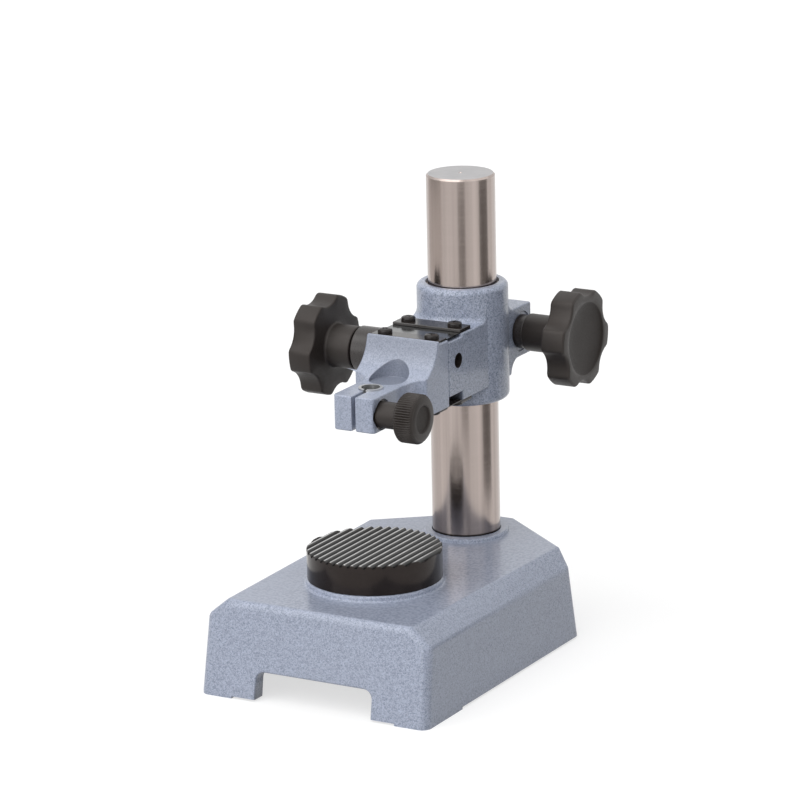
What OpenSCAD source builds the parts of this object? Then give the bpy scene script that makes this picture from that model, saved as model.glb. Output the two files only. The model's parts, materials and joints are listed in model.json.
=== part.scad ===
// Dial indicator stand, in millimetres.
// Origin: middle of the overall width and length, on the floor. +X right, +Y back to the column, +Z up.

/* [Base] */
// Width of the base at the floor
base_w = 110; // [102:1:120]
// Length of the base at the floor
base_l = 170; // [164:1:180]
// Height of the base's flat top
base_h = 41.5; // [38:0.5:46]
// Height of the bevels along the two long sides
bevel_h = 7.8; // [5:0.2:10]
// Width of each bevel at the front
bevel_front = 9.5; // [8:0.5:14]
// Width of each bevel at the rear corner cut
bevel_back = 7; // [5:0.5:11]
// How far the front and rear faces lean in over the full height
end_lean = 6.5; // [4:0.5:10]
// How far each long side leans in over the full height
side_lean = 1.2; // [0.6:0.2:4]
// Length of the rear corner cuts
corner_l = 35.5; // [26:0.5:40]
// Width left between the rear corner cuts
back_w = 18; // [12:1:40]
// Rounding of the casting's upright edges
edge_r = 4; // [2:0.5:5]
// Rounding of the edges along the sides and the rear of the flat top
top_r = 1.75; // [1:0.25:3]
// Rounding of the front edge of the flat top
front_r = 3.5; // [1:0.25:5]
// Thickness of the side walls
wall_t = 7; // [5:0.5:11]
// Thickness of the top wall
roof_t = 11; // [9:0.5:14]
// Width of the notch under the front
notch_w = 56; // [46:1:64]
// Height of the notch under the front
notch_h = 13; // [10:0.5:16]
// Rounding of the notch's upper corners
notch_r = 4; // [2:0.5:6]
// How far the foot pads stand below the rim
pad_h = 1; // [0.6:0.2:2]
// Width of a front foot pad
pad_w = 15; // [10:0.5:18]
// Length of a front foot pad
pad_l = 31; // [24:1:40]
// Length of the rear foot pad
rear_pad_l = 14; // [10:0.5:18]
// Thickness of the rib between the two bosses
rib_t = 8; // [6:0.5:12]
// Wall of the boss round the anvil's spigot
spigot_wall = 6; // [4:0.5:8]
// How far that boss reaches below the top wall
spigot_boss_h = 6; // [4:0.5:8]
// Wall of the socket round the column
socket_wall = 7; // [5:0.5:9]
// Thickness of the web below the column
web_t = 4; // [3:0.5:6]

/* [Anvil] */
// Diameter of the serrated anvil
anvil_d = 58; // [50:1:64]
// Height of the anvil above its boss
anvil_h = 13; // [10:0.5:16]
// Distance from the base's front edge to the measuring axis
anvil_set = 55.4; // [50:0.2:58]
// Height of the anvil's boss above the base's top
anvil_boss_h = 2.8; // [2:0.2:5]
// Spacing of the ridges on the anvil
ridge_pitch = 3.5; // [3:0.25:5]
// Width of a ridge's flat crest
ridge_w = 1.1; // [0.8:0.1:1.8]
// Depth of the grooves between the ridges
groove_h = 1.4; // [1:0.1:2]
// Chamfer round the anvil's top
anvil_edge = 0.5; // [0.4:0.1:1.4]
// Width of the boss's ledge round the anvil
anvil_ledge = 0.5; // [0.3:0.1:3]
// Diameter of the anvil's locating spigot
spigot_d = 22; // [18:1:26]
// Length of the locating spigot
spigot_h = 6; // [4:0.5:8]
// Metal left between the anvil screw's hole and the grooves
anvil_skin = 2.5; // [1.5:0.25:4]
// Diameter of the anvil screw
anvil_screw_d = 8; // [6:1:10]

/* [Column] */
// Diameter of the column
column_d = 30; // [28:0.5:32]
// Distance from the measuring axis to the column's axis
reach = 81.2; // [78:0.2:88]
// Height of the column's top above the floor
column_top = 203.3; // [190:0.5:240]
// Height of the column's boss above the base's top
column_boss_h = 1.9; // [1.5:0.1:4]
// Outer diameter of the column's boss
column_boss_d = 37.5; // [35:0.5:44]
// Height of the column's lower end above the floor
column_low = 16; // [14:0.5:20]
// Chamfer on the column's top edge
column_edge = 0.8; // [0.4:0.1:1.5]
// Diameter of the bolt that holds the column
column_bolt_d = 10; // [8:1:12]
// Length of the bolt inside the column
column_bolt_l = 16; // [12:0.5:20]
// Length of the column's hole past the bolt's end
bolt_past = 6; // [3:0.5:8]
// Thickness of the washer under the column's bolt
washer_h = 2; // [1.5:0.1:3]

/* [Bracket] */
// Clear height from the anvil to the underside of the holder's arm
rest_gap = 54.2; // [52:0.2:58]
// Outer diameter of the sleeve on the column
sleeve_d = 40; // [39:0.5:46]
// Height of the sleeve
sleeve_h = 52; // [48:0.5:58]
// How far the sleeve reaches below the holder's underside
sleeve_drop = 8; // [6:0.5:9]
// Rounding of the sleeve's rims
rim_r = 2.5; // [1:0.25:3]
// Radius of the fillet where the sleeve rises from the block's top
sleeve_fillet = 3; // [1:0.25:3.5]
// Wall of the split liner in the sleeve
liner_t = 1; // [0.8:0.1:1.5]
// How far the liner's ends stand back from the sleeve's rims
liner_back = 1.4; // [1:0.1:2]
// Width of the bracket's block and of its ears
block_w = 35; // [33:0.5:38]
// Height of the bracket's block
block_h = 29.5; // [28:0.1:32]
// Distance from the column's axis to the back of the ears
ear_l = 31.3; // [29:0.1:35]
// Height of the ears
ear_h = 22.7; // [20:0.1:25]
// Radius where the ears run down into the sleeve
ear_r = 6.5; // [5:0.5:8]
// Rounding of the ears' and the nose's corners
corner_r = 2; // [1:0.25:2.5]
// Width of the split through the sleeve and ears
split_w = 3; // [2:0.25:4]
// Distance from the measuring axis to the seam between holder and bracket
seam_y = 36.55; // [36:0.05:38]
// Gap at the seam
seam_gap = 0.3; // [0.2:0.05:0.5]

/* [Holder] */
// Width of the holder's arm
arm_w = 20; // [18:0.5:23]
// Height of the holder's arm
arm_h = 15.3; // [14:0.1:17]
// Distance from the stem axis to the arm's front face
nose_l = 15; // [15:0.1:17]
// Distance from the stem axis to the top front edge of the holder
brow_y = 27.4; // [26:0.1:28]
// Height of the lip in front of the upper leaf
lip_h = 1.2; // [0.6:0.1:2]
// Gap between that lip and the leaf
lip_gap = 0.3; // [0.2:0.05:0.5]
// Radius of the sweep from the arm up to the holder's top
sweep_r = 18; // [17:0.25:20]
// Radius where the arm widens into the block
flare_r = 7.5; // [6:0.25:7.5]
// Distance from the stem axis to the start of that widening
flare_y = 9.5; // [8:0.25:11]
// Radius of the round scoop behind the stem
scoop_r = 8.5; // [7:0.25:9]
// Distance from the stem axis to the scoop's centre
scoop_y = 15.5; // [15:0.1:16.5]
// Depth of the scoop below the arm's top
scoop_h = 1; // [0.5:0.1:1.5]
// Width of the slot in the arm's nose
nose_slot = 2; // [1.5:0.1:2.5]
// Bore for the indicator's stem
stem_d = 8; // [6:0.5:8]
// Outer diameter of the stem bush
bush_d = 10.6; // [10:0.1:11]
// How far the stem bush stands above the arm
bush_up = 0.6; // [0.2:0.1:1]

/* [Leaf springs] */
// How far the leaves and strips stand back from the block's sides
leaf_side = 0.9; // [0.5:0.1:1.5]
// Thickness of each leaf spring
leaf_t = 0.4; // [0.3:0.05:0.6]
// Distance from the seam's back face to the rear strips, the free length of the leaves
leaf_free = 11.8; // [11.5:0.1:12.5]
// Length of the rear strips along the bracket
strip_l = 9.4; // [8.8:0.1:9.6]
// Length of the front strips along the holder
front_strip_l = 7; // [6.8:0.1:8]
// Thickness of the rear strips
strip_t = 1.3; // [1:0.1:2]
// Thickness of the front strips
front_strip_t = 0.6; // [0.5:0.1:1]
// Depth of the relief under the upper leaf
relief_top = 1.2; // [1:0.1:1.6]
// Depth of the relief over the lower leaf
relief_low = 4; // [2:0.25:5]
// Distance of each strip screw from the middle
screw_x = 11.4; // [10.8:0.1:12.5]
// Diameter of a strip screw's head
head_d = 6.3; // [5.5:0.1:6.6]
// Height of a strip screw's head
head_h = 2.1; // [1.8:0.1:2.6]
// Diameter of a strip screw's shank
screw_d = 3; // [2.5:0.5:3.5]
// Length of a strip screw's shank
screw_l = 10; // [8:0.5:11]

/* [Fine adjustment] */
// Height of the cam shaft above the holder's underside
shaft_up = 18.6; // [17.5:0.1:19]
// Distance from the seam to the cam shaft
shaft_back = 8.4; // [8:0.1:9]
// Diameter of the cam shaft
shaft_d = 10; // [9:0.5:10.5]
// Diameter of the shaft's far journal
journal_d = 6.5; // [5.5:0.5:7]
// How far the journal ends inside the bracket's side
journal_back = 5; // [3:0.25:6]
// Rise of the cam over its working turn
cam_rise = 1; // [0.6:0.1:1.2]
// Working turn of the cam, in degrees
cam_turn = 270; // [240:10:280]
// Width of the pocket for cam and tongue
pocket_w = 18; // [16:0.5:19]
// Room on each side of the holder's tongue
tongue_side = 3.5; // [3:0.1:4]
// How far the tongue reaches past the cam shaft
tongue_past = 5; // [4:0.25:5.5]
// Room behind the tongue
pocket_room = 2; // [1.5:0.1:3]
// Height of the holder's tongue over the cam
tongue_h = 4.2; // [3.5:0.1:4.6]
// Wall of the cam shaft's bush in the bracket
shaft_wall = 2; // [1.5:0.25:2.5]
// Width of the bush's shoulder outside the bracket
shaft_ledge = 3; // [2:0.25:3.5]
// Chamfer on the shoulder's outer end
shaft_edge = 0.8; // [0.4:0.1:1.2]
// Diameter of the grub screw in the fine knob
grub_d = 4; // [3:0.5:5]
// Distance from the bracket's side to the fine knob's hub
fine_out = 14; // [12:0.1:14]
// Length of the fine knob's hub
fine_hub_l = 12; // [10:0.5:12]
// Diameter of the fine knob's hub
fine_hub_d = 19; // [17:0.5:20]

/* [Knobs] */
// Diameter over the lobes of both large knobs
knob_d = 43.8; // [40:0.2:46]
// Thickness of both large knobs
knob_t = 11; // [9:0.5:12]
// Number of lobes
lobes = 6; // [5:1:8]
// Depth of the hollows between the lobes
hollow_h = 3.2; // [2:0.1:4]
// Radius of the hollows between the lobes
hollow_r = 11; // [9:0.5:14]
// Rounding of the knobs' outer edges
knob_r = 2.5; // [1.5:0.25:3]
// Depth of the dish in the knobs' outer faces
dish_h = 1.6; // [1:0.1:2.5]
// Diameter of the dish
dish_d = 31; // [26:0.5:33]
// Turn of the clamp knob's lobes about its axis, in degrees
clamp_phase = 22; // [-30:1:30]
// Turn of the fine knob's lobes about its axis, in degrees
fine_phase = 21; // [-30:1:30]
// Diameter of the clamp knob's hub
clamp_hub_d = 16.5; // [15:0.5:17]
// Length of the clamp knob's hub
clamp_hub_l = 17; // [15:0.5:18]
// Diameter of the clamp stud
clamp_d = 8; // [6:1:8]
// Wall between the sleeve's bore and the clamp stud
clamp_wall = 0.9; // [0.8:0.1:2]
// Depth of the spot face for the clamp washer
clamp_spot_h = 0.6; // [0.4:0.1:0.8]
// Length of the collar between the ear and the clamp knob
washer_t = 4.6; // [3.6:0.1:5.6]
// How much smaller than the hub the collar is
washer_step = 1.6; // [0.6:0.1:2.4]
// Diameter of the thumb knob
thumb_d = 21.2; // [19:0.2:22]
// Length of the thumb knob's knurled rim
thumb_t = 9.4; // [8:0.2:11]
// Diameter of the thumb knob's neck
neck_d = 11.4; // [10:0.2:12]
// Length of the thumb knob's neck
neck_l = 11; // [9:0.5:12]
// Diameter of the spot face for the thumb knob's neck
spot_d = 13.4; // [12.6:0.2:13.6]
// Depth of that spot face
spot_h = 1.6; // [1.2:0.1:2]
// Distance from the stem axis forward to the thumb screw
thumb_fore = 7.9; // [7.8:0.1:8.2]
// Diameter of the thumb screw's stud
thumb_stud_d = 4; // [3:0.5:4]
// Thickness of the thumb screw's washer
thumb_washer_t = 0.8; // [0.6:0.1:1]

/* [Fits] */
// Radial clearance of turning and sliding fits
run_gap = 0.05; // [0.02:0.01:0.08]
// Radial clearance of fixed pieces in their holes
seat_gap = 0.03; // [0.01:0.01:0.06]

/* [Hidden] */
$fn = 64;
eps = 0.5;
bore_r = column_d / 2 + run_gap + liner_t + run_gap;
clamp_back = bore_r + clamp_d / 2 + clamp_wall;
overall_l = anvil_set + reach + clamp_back + knob_d / 2;
front = -overall_l / 2;
back = front + base_l;
stem = front + anvil_set;
column_y = stem + reach;
roof_z = base_h - roof_t;
end_slope = end_lean / base_h;
cut_y = back - corner_l;
cut_turn = atan2(corner_l - edge_r, base_w / 2 - edge_r - back_w / 2);
post_h = 1;
boss_edge = 0.8;
boss_fillet = 1;
anvil_boss_d = anvil_d + 2 * anvil_ledge;
anvil_low = base_h + anvil_boss_h;
anvil_top = anvil_low + anvil_h;
spigot_low = anvil_low - spigot_h;
screw_boss_d = spigot_d + 2 * spigot_wall;
screw_boss_z = roof_z - spigot_boss_h;
socket_d = column_d + 2 * socket_wall;
column_boss_z = base_h + column_boss_h;
web_z = column_low - web_t;
arm_low = anvil_top + rest_gap;
arm_top = arm_low + arm_h;
block_top = arm_low + block_h;
sleeve_low = arm_low - sleeve_drop;
sleeve_top = sleeve_low + sleeve_h;
ear_low = block_top - ear_h;
clamp_z = ear_low + ear_h / 2;
clamp_y = column_y + clamp_back;
seam = stem + seam_y;
holder_back = seam - seam_gap / 2;
bracket_front = seam + seam_gap / 2;
leaf_front = holder_back - front_strip_l;
rear_strip = bracket_front + leaf_free;
leaf_back = rear_strip + strip_l;
leaf_w = block_w - 2 * leaf_side;
front_screw_y = holder_back - front_strip_l / 2;
rear_screw_y = rear_strip + strip_l / 2;
fillet_r = min(sleeve_fillet, column_y - sleeve_d / 2 - leaf_back);
shaft_y = seam + shaft_back;
shaft_z = arm_low + shaft_up;
cam_under = 0.5;
cam_mid = shaft_d / 2 - cam_rise / 2 - cam_under;
tongue_low = shaft_z + cam_mid + run_gap;
tongue_w = pocket_w - 2 * tongue_side;
tongue_l = shaft_back + tongue_past;
pocket_l = tongue_l + pocket_room;
pocket_low = shaft_z - shaft_d / 2 - pocket_room / 2;
clip_w = 0.8;
clip_groove = 0.8;
grub_sink = 0.8;
hub_end = -block_w / 2 - fine_out;
grub_x = hub_end - fine_hub_l / 2;
clamp_seat = block_w / 2 - clamp_spot_h;
clamp_knob_x = clamp_seat + washer_t + run_gap;
stud_back = 1;
thumb_seat = arm_w / 2 - spot_h;
thumb_knob_x = thumb_seat + thumb_washer_t + run_gap;
thumb_z = arm_low + arm_h / 2 - 0.6;
thumb_y = stem - thumb_fore;
paint = [0.55, 0.59, 0.67];
steel = [0.72, 0.70, 0.68];
black = [0.09, 0.08, 0.08];
blued = [0.16, 0.15, 0.17];

// Lays a solid drawn along +Z along +X instead, from x, on the axis at y and z.
module along_x(x, y, z) {
  translate([x, y, z]) rotate([0, 90, 0]) children();
}

// Extrudes a profile drawn in (y, z) across the full width, centred on the middle plane.
module across(w) {
  translate([-w / 2, 0, 0]) rotate([90, 0, 90]) linear_extrude(w) children();
}

// A short upright post in each half of the base's wall, ending at a height.
module wall_posts(x, y, top) {
  for (side = [-1, 1]) translate([side * x, y, top - post_h]) cylinder(r = edge_r, h = post_h, $fn = 24);
}

// A ball under the flat top in each half of the base.
module top_balls(x, y, r) {
  for (side = [-1, 1]) translate([side * x, y, base_h - r]) sphere(r, $fn = 24);
}

// How far a ball under the flat top lies inside the foot of a leaning end face.
function ball_set(r) = end_slope * (base_h - r) + r * sqrt(1 + end_slope * end_slope);

// Y of a point that lies inside the foot of a rear corner cut, at a distance from the middle plane.
function cut_point(x, inside) = cut_y + tan(cut_turn) * (base_w / 2 - edge_r - x) - inside / cos(cut_turn);

// The base's outer form: leaning faces, side bevels that narrow to the back and cut rear corners.
module base_shell() {
  bevel_z = base_h - bevel_h;
  low_x = base_w / 2 - side_lean * bevel_z / base_h;
  front_x = low_x - bevel_front - front_r * tan(atan2(bevel_h, bevel_front) / 2);
  back_x = low_x - bevel_back - top_r * tan(atan2(bevel_h, bevel_back) / 2);
  hull() {
    wall_posts(base_w / 2 - edge_r, front + edge_r, post_h);
    wall_posts(base_w / 2 - edge_r, cut_y, post_h);
    wall_posts(back_w / 2, back - edge_r, post_h);
    wall_posts(low_x - edge_r, front + end_slope * bevel_z + edge_r, bevel_z);
    wall_posts(low_x - edge_r, cut_point(low_x - edge_r, end_slope * bevel_z), bevel_z);
    top_balls(front_x, front + ball_set(front_r), front_r);
    top_balls(back_x, cut_point(back_x, ball_set(top_r) - edge_r), top_r);
    top_balls(back_w / 2, back - ball_set(top_r), top_r);
  }
}

// A low round boss on the base's top, with a run-out at its foot and a broken upper edge.
module boss(d, top) {
  foot = base_h - eps;
  r = min(boss_fillet, top - base_h - boss_edge - eps);
  rotate_extrude() polygon(concat([[0, foot], [d / 2 + r, foot], [d / 2 + r, base_h]],
    [for (a = [15:15:90]) [d / 2 + r * (1 - sin(a)), base_h + r * (1 - cos(a))]],
    [[d / 2, top - boss_edge], [d / 2 - boss_edge, top], [0, top]]));
}

// The hollow under the base: its sides stand upright in plan, its ends lean in with the outer faces.
module base_hollow() {
  side_x = base_w / 2 - side_lean - wall_t;
  inner_y = cut_y - wall_t / 2;
  lean = end_slope * roof_z;
  intersection() {
    translate([0, 0, -eps]) linear_extrude(roof_z + eps) polygon([[-side_x, front], [side_x, front],
      [side_x, inner_y], [back_w / 2, back - wall_t], [-back_w / 2, back - wall_t], [-side_x, inner_y]]);
    across(base_w) polygon([[front + wall_t, -eps], [back - wall_t, -eps], [back - wall_t, 0],
      [back - wall_t - lean, roof_z], [back - wall_t - lean, base_h], [front + wall_t + lean, base_h],
      [front + wall_t + lean, roof_z], [front + wall_t, 0]]);
  }
}

// Lifts the rim off the floor everywhere but at the two front pads and the rear pad.
module rim_relief() {
  translate([0, 0, -eps]) linear_extrude(pad_h + eps) difference() {
    translate([-base_w, front - base_w]) square([2 * base_w, base_l + 2 * base_w]);
    for (side = [-1, 1]) translate([side * (base_w / 2 - pad_w / 2) - pad_w / 2 - eps, front - eps])
      square([pad_w + 2 * eps, pad_l + eps]);
    translate([-back_w / 2, back - rear_pad_l]) square([back_w, rear_pad_l + eps]);
  }
}

module notch() {
  reach_back = end_lean + wall_t + eps;
  translate([0, front - eps, 0]) rotate([-90, 0, 0]) linear_extrude(reach_back + eps) union() {
    translate([-notch_w / 2, -notch_h + notch_r]) square([notch_w, notch_h]);
    translate([-notch_w / 2 + notch_r, -notch_h]) square([notch_w - 2 * notch_r, notch_h]);
    for (side = [-1, 1]) translate([side * (notch_w / 2 - notch_r), -notch_h + notch_r]) circle(notch_r);
  }
}

module base() {
  color(paint) difference() {
    union() {
      difference() {
        base_shell();
        base_hollow();
        notch();
        rim_relief();
      }
      translate([0, stem, 0]) boss(anvil_boss_d, anvil_low);
      translate([0, column_y, 0]) boss(column_boss_d, column_boss_z);
      translate([0, stem, screw_boss_z]) cylinder(d = screw_boss_d, h = base_h - screw_boss_z - eps);
      translate([0, column_y, web_z]) cylinder(d = socket_d, h = base_h - web_z - eps);
      translate([-rib_t / 2, stem, screw_boss_z]) cube([rib_t, reach, base_h - screw_boss_z - eps]);
    }
    translate([0, stem, spigot_low]) cylinder(d = spigot_d + 2 * seat_gap, h = spigot_h + eps);
    translate([0, stem, 0]) cylinder(d = anvil_screw_d + 1, h = base_h);
    translate([0, column_y, column_low]) cylinder(d = column_d + 2 * seat_gap, h = column_boss_z);
    translate([0, column_y, 0]) cylinder(d = column_bolt_d + 1, h = base_h);
  }
}

// One groove across the anvil: a trapezium drawn in (x, z).
module groove(x) {
  land = ridge_pitch - ridge_w;
  translate([x, anvil_d / 2 + eps, anvil_top]) rotate([90, 0, 0]) linear_extrude(anvil_d + 2 * eps)
    polygon([[-land / 2, eps], [-land / 2, 0], [-land / 6, -groove_h], [land / 6, -groove_h], [land / 2, 0],
      [land / 2, eps]]);
}

module anvil() {
  r = anvil_d / 2;
  count = floor(r / ridge_pitch);
  tap_h = anvil_h - groove_h - anvil_skin;
  color(black) translate([0, stem, 0]) difference() {
    union() {
      rotate_extrude($fn = 128) polygon([[0, anvil_low], [r, anvil_low], [r, anvil_top - anvil_edge],
        [r - anvil_edge, anvil_top], [0, anvil_top]]);
      translate([0, 0, spigot_low]) cylinder(d = spigot_d, h = spigot_h + eps);
    }
    for (i = [-count:count]) groove(i * ridge_pitch);
    translate([0, 0, spigot_low - eps])
      cylinder(d = anvil_screw_d + 2 * seat_gap, h = spigot_h + tap_h + eps);
  }
}

// A screw with a round head, its bearing face at z = 0 and its shank running up.
module cap_screw(d, l, head, head_l) {
  union() {
    translate([0, 0, -head_l]) cylinder(d = head, h = head_l);
    translate([0, 0, -eps]) cylinder(d = d, h = l + eps);
  }
}

module anvil_screw() {
  head_l = anvil_screw_d;
  socket = anvil_screw_d * 0.75;
  color(blued) translate([0, stem, screw_boss_z]) difference() {
    cap_screw(anvil_screw_d, anvil_low - screw_boss_z + anvil_h / 2, anvil_screw_d * 1.6, head_l);
    translate([0, 0, -head_l - eps]) cylinder(d = socket, h = head_l / 2 + eps, $fn = 6);
  }
}

module column() {
  r = column_d / 2;
  centre_r = 0.7;
  tap_h = column_bolt_l + bolt_past;
  color(steel) translate([0, column_y, 0]) difference() {
    rotate_extrude($fn = 96) polygon([[0, column_low], [r - column_edge, column_low],
      [r, column_low + column_edge], [r, column_top - column_edge], [r - column_edge, column_top],
      [0, column_top]]);
    translate([0, 0, column_low - eps]) cylinder(d = column_bolt_d + 2 * seat_gap, h = tap_h + eps);
    translate([0, 0, column_top - centre_r])
      cylinder(r1 = 0.2, r2 = centre_r + 0.2, h = centre_r + 0.1, $fn = 24);
  }
}

module column_bolt() {
  head_l = column_bolt_d * 0.62;
  shank_l = web_t + washer_h + column_bolt_l;
  color(blued) translate([0, column_y, web_z - washer_h]) union() {
    translate([0, 0, -head_l]) cylinder(d = column_bolt_d * 1.9, h = head_l, $fn = 6);
    translate([0, 0, -eps]) cylinder(d = column_bolt_d, h = shank_l + eps);
  }
}

module column_washer() {
  color(steel) translate([0, column_y, web_z - washer_h]) difference() {
    cylinder(d = column_bolt_d * 2.1, h = washer_h);
    translate([0, 0, -eps]) cylinder(d = column_bolt_d + 2 * seat_gap, h = washer_h + 2 * eps);
  }
}

module liner() {
  low = sleeve_low + liner_back;
  high = sleeve_top - liner_back;
  color(blued) translate([0, column_y, low]) difference() {
    cylinder(r = column_d / 2 + run_gap + liner_t, h = high - low, $fn = 96);
    translate([0, 0, -eps]) cylinder(r = column_d / 2 + run_gap, h = high - low + 2 * eps, $fn = 96);
    translate([-split_w / 2, 0, -eps]) cube([split_w, column_d, high - low + 2 * eps]);
  }
}

// The sleeve's solid of revolution with rounded rims.
module sleeve() {
  r = sleeve_d / 2;
  translate([0, column_y, 0]) rotate_extrude($fn = 96) polygon(concat([[0, sleeve_low]],
    [for (a = [0:15:90]) [r - rim_r + rim_r * sin(a), sleeve_low + rim_r - rim_r * cos(a)]],
    [for (a = [0:15:90]) [r - rim_r + rim_r * cos(a), sleeve_top - rim_r + rim_r * sin(a)]],
    [[0, sleeve_top]]));
}

// The fillet round the sleeve's foot, as far as the top of the block and the ears reaches.
module sleeve_foot() {
  r = sleeve_d / 2;
  intersection() {
    translate([0, column_y, block_top]) rotate_extrude($fn = 96) polygon(concat([[r - eps, -eps],
      [r + fillet_r, -eps], [r + fillet_r, 0]],
      [for (a = [15:15:90]) [r + fillet_r * (1 - sin(a)), fillet_r * (1 - cos(a))]], [[r - eps, fillet_r]]));
    translate([-block_w / 2, bracket_front, block_top - 2 * eps])
      cube([block_w, column_y + ear_l - corner_r - bracket_front, fillet_r + 2 * eps]);
  }
}

// A rectangle whose far corners, at the end of its length l along +Y, are rounded.
module tongue_plan(w, l, r) {
  translate([-w / 2, 0]) square([w, l - r]);
  translate([-w / 2 + r, 0]) square([w - 2 * r, l]);
  for (side = [-1, 1]) translate([side * (w / 2 - r), l - r]) circle(r);
}

// The ears behind the sleeve, run down into it with a hollow radius.
module ears() {
  foot = 0.3 * sleeve_d;
  intersection() {
    across(block_w) difference() {
      union() {
        translate([column_y, ear_low + ear_h / 2]) rotate(-90) tongue_plan(ear_h, ear_l, corner_r);
        translate([column_y, ear_low - ear_r]) square([foot + ear_r, ear_r + eps]);
      }
      translate([column_y + foot + ear_r, ear_low - ear_r]) circle(ear_r);
    }
    translate([0, column_y, sleeve_low]) linear_extrude(sleeve_h) tongue_plan(block_w, ear_l, corner_r);
  }
}

// The two through holes of a row of strip screws.
module screw_holes(y, low, high) {
  for (side = [-1, 1]) translate([side * screw_x, y, low])
    cylinder(d = screw_d + 2 * seat_gap, h = high - low);
}

module bracket() {
  spot_face_d = clamp_hub_d + 1.5;
  color(paint) difference() {
    union() {
      sleeve();
      sleeve_foot();
      translate([-block_w / 2, bracket_front, arm_low]) cube([block_w, column_y - bracket_front, block_h]);
      ears();
    }
    translate([0, column_y, sleeve_low - eps]) cylinder(r = bore_r, h = sleeve_h + 2 * eps, $fn = 96);
    translate([-split_w / 2, column_y, sleeve_low - eps]) cube([split_w, ear_l + eps, sleeve_h + 2 * eps]);
    translate([-block_w / 2 - eps, bracket_front - eps, block_top - relief_top])
      cube([block_w + 2 * eps, leaf_free + eps, relief_top + eps]);
    translate([-block_w / 2 - eps, bracket_front - eps, arm_low - eps])
      cube([block_w + 2 * eps, leaf_free + eps, relief_low + eps]);
    translate([-pocket_w / 2, bracket_front - eps, pocket_low])
      cube([pocket_w, pocket_l + eps, block_top - pocket_low + eps]);
    along_x(-block_w / 2 - eps, shaft_y, shaft_z)
      cylinder(d = shaft_d + 2 * shaft_wall + 2 * seat_gap, h = block_w / 2);
    along_x(0, shaft_y, shaft_z) cylinder(d = journal_d + 2 * run_gap, h = block_w);
    along_x(-block_w, clamp_y, clamp_z) cylinder(d = clamp_d + 2 * run_gap, h = 2 * block_w);
    along_x(clamp_seat, clamp_y, clamp_z) cylinder(d = spot_face_d, h = block_w);
    screw_holes(rear_screw_y, block_top - screw_l, block_top + eps);
    screw_holes(rear_screw_y, arm_low - eps, arm_low + screw_l);
  }
}

module shaft_bush() {
  r = shaft_d / 2 + shaft_wall;
  shoulder_r = r + shaft_ledge;
  shoulder_l = fine_out - 0.6;
  bore = shaft_d / 2 + run_gap;
  end = shoulder_l + block_w / 2 - pocket_w / 2;
  color(blued) along_x(-block_w / 2 - shoulder_l, shaft_y, shaft_z) rotate_extrude() polygon([[bore, 0],
    [shoulder_r - shaft_edge, 0], [shoulder_r, shaft_edge], [shoulder_r, shoulder_l], [r, shoulder_l],
    [r, end], [bore, end]]);
}

// A leaf spring lying on z, pierced for both rows of screws.
module leaf(z) {
  difference() {
    translate([-leaf_w / 2, leaf_front, z]) cube([leaf_w, leaf_back - leaf_front, leaf_t]);
    screw_holes(front_screw_y, z - eps, z + leaf_t + eps);
    screw_holes(rear_screw_y, z - eps, z + leaf_t + eps);
  }
}

// A clamp strip over a leaf, from y along l, pierced for its own row of screws.
module strip(y, l, z, t) {
  difference() {
    translate([-leaf_w / 2, y, z]) cube([leaf_w, l, t]);
    screw_holes(y + l / 2, z - eps, z + t + eps);
  }
}

module upper_leaf() {
  color(blued) leaf(block_top);
}

module lower_leaf() {
  color(blued) leaf(arm_low - leaf_t);
}

module rear_upper_strip() {
  color(black) strip(rear_strip, strip_l, block_top + leaf_t, strip_t);
}

module rear_lower_strip() {
  color(black) strip(rear_strip, strip_l, arm_low - leaf_t - strip_t, strip_t);
}

module front_upper_strip() {
  color(steel) strip(leaf_front, front_strip_l, block_top + leaf_t, front_strip_t);
}

module front_lower_strip() {
  color(steel) strip(leaf_front, front_strip_l, arm_low - leaf_t - front_strip_t, front_strip_t);
}

// A pan head screw with its bearing face at z = 0 and its shank running down.
module strip_screw(depth) {
  r = head_d / 2;
  crown = head_h * 0.45;
  union() {
    rotate_extrude($fn = 40) polygon([[0, 0], [r, 0], [r, head_h - crown], [r * 0.93, head_h - crown * 0.5],
      [r * 0.75, head_h - crown * 0.15], [r * 0.45, head_h], [0, head_h]]);
    translate([0, 0, -depth]) cylinder(d = screw_d, h = depth + eps, $fn = 24);
  }
}

// An upper screw stands on its strip; a lower one is the same screw turned over.
module upper_screw(side, y, t) {
  color(black) translate([side * screw_x, y, block_top + leaf_t + t]) strip_screw(screw_l - 1);
}

module lower_screw(side, y, t) {
  color(black) translate([side * screw_x, y, arm_low - leaf_t - t]) rotate([180, 0, 0])
    strip_screw(screw_l - 1);
}

module screw_upper_rear_left() {
  upper_screw(-1, rear_screw_y, strip_t);
}

module screw_upper_rear_right() {
  upper_screw(1, rear_screw_y, strip_t);
}

module screw_lower_rear_left() {
  lower_screw(-1, rear_screw_y, strip_t);
}

module screw_lower_rear_right() {
  lower_screw(1, rear_screw_y, strip_t);
}

module screw_upper_front_left() {
  upper_screw(-1, front_screw_y, front_strip_t);
}

module screw_upper_front_right() {
  upper_screw(1, front_screw_y, front_strip_t);
}

module screw_lower_front_left() {
  lower_screw(-1, front_screw_y, front_strip_t);
}

module screw_lower_front_right() {
  lower_screw(1, front_screw_y, front_strip_t);
}

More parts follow.
